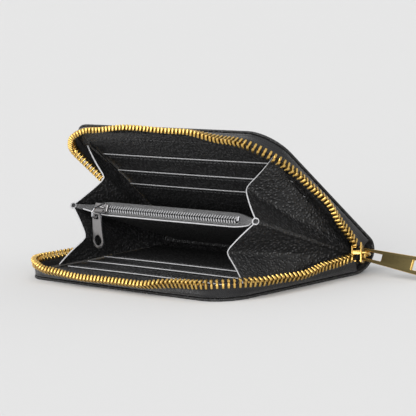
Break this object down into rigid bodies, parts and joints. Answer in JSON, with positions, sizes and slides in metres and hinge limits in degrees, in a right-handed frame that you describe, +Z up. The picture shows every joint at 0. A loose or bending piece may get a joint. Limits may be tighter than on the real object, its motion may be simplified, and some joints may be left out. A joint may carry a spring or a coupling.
{
  "type": "zip around wallet",
  "caption": "Zip around wallet standing open, with bellows gussets, card slots in both covers and a zipped coin pocket between them.",
  "frame": {"origin": "on the table below the lower cover, halfway between the mouth edge and the spine and halfway along the spine", "axes": "+X along the spine towards the outer zip slider, +Y from the mouth to the spine, +Z up"},
  "size_m": [0.1956, 0.1074, 0.0755],
  "materials": {
    "outer_leather": "fine pebble grain, satin",
    "lining_leather": "fine pebble grain, satin",
    "board": "matt pressed board",
    "black_tape": "ribbed twill tape",
    "brass": "polished",
    "grey_tape": "satin woven tape",
    "grey_coil": "smooth nylon",
    "gunmetal": "dark polished plating"
  },
  "bodies": {
    "lower_cover": {"lower_cover_leather": "outer_leather", "lower_stiffener_board": "board", "lower_lining": "lining_leather", "lower_card_slot_1": "lining_leather", "lower_card_slot_2": "lining_leather", "lower_card_slot_3": "lining_leather", "lower_zip_tape": "black_tape", "lower_zip_teeth": "brass", "lower_zip_stop": "brass", "spine_leather": "outer_leather", "spine_lining": "lining_leather", "left_gusset_lower": "lining_leather", "right_gusset_lower": "lining_leather"},
    "coin_pocket": {"coin_pocket_lower_leaf": "lining_leather", "coin_pocket_upper_leaf": "lining_leather", "coin_pocket_back_fold": "lining_leather", "coin_zip_tape_lower": "grey_tape", "coin_zip_tape_upper": "grey_tape", "coin_zip_coil_lower": "grey_coil", "coin_zip_coil_upper": "grey_coil", "coin_zip_stop": "grey_coil", "left_gusset_upper": "lining_leather", "right_gusset_upper": "lining_leather"},
    "upper_cover": {"upper_cover_leather": "outer_leather", "upper_stiffener_board": "board", "upper_lining": "lining_leather", "upper_card_slot_1": "lining_leather", "upper_card_slot_2": "lining_leather", "upper_card_slot_3": "lining_leather", "upper_zip_tape": "black_tape", "upper_zip_teeth": "brass", "upper_zip_stop": "brass"},
    "outer_slider": {"outer_slider_body": "brass", "outer_slider_bridge": "brass"},
    "outer_pull": {"outer_pull": "brass"},
    "coin_slider": {"coin_slider_body": "gunmetal", "coin_slider_bail": "gunmetal"},
    "coin_pull": {"coin_pull": "gunmetal"}
  },
  "joints": [
    {"name": "pocket_swing", "type": "hinge", "parent": "lower_cover", "child": "coin_pocket", "pos_m": [0, 0.0377, 0.0014], "axis": [1, 0, 0], "range_deg": [-6, 21.4], "deforming": ["left_gusset_lower", "right_gusset_lower", "spine_lining"]},
    {"name": "cover_swing", "type": "hinge", "parent": "coin_pocket", "child": "upper_cover", "pos_m": [0, 0.0377, 0.0014], "axis": [1, 0, 0], "range_deg": [-6, 21.4], "deforming": ["left_gusset_upper", "right_gusset_upper", "spine_leather"]},
    {"name": "outer_slider_travel", "type": "slide", "parent": "coin_pocket", "child": "outer_slider", "axis": [0, -0.9311, 0.3649], "range_m": [0, 0.065], "deforming": ["lower_zip_tape", "lower_zip_teeth", "upper_zip_tape", "upper_zip_teeth"]},
    {"name": "outer_pull_swing", "type": "hinge", "parent": "outer_slider", "child": "outer_pull", "pos_m": [0.0786, 0.03963, 0.00988], "axis": [0, 0.3649, 0.9311], "range_deg": [-80, 80]},
    {"name": "coin_slider_travel", "type": "slide", "parent": "coin_pocket", "child": "coin_slider", "axis": [1, 0, 0], "range_m": [0, 0.092]},
    {"name": "coin_pull_swing", "type": "hinge", "parent": "coin_slider", "child": "coin_pull", "pos_m": [-0.0465, -0.02125, 0.02885], "axis": [1, 0, 0], "range_deg": [-19.5, 67.5]}
  ],
  "couplings": [
    {"joint": "pocket_swing", "follows": "cover_swing", "ratio": 1},
    {"joint": "coin_pull_swing", "follows": "cover_swing", "ratio": 3.136}
  ]
}
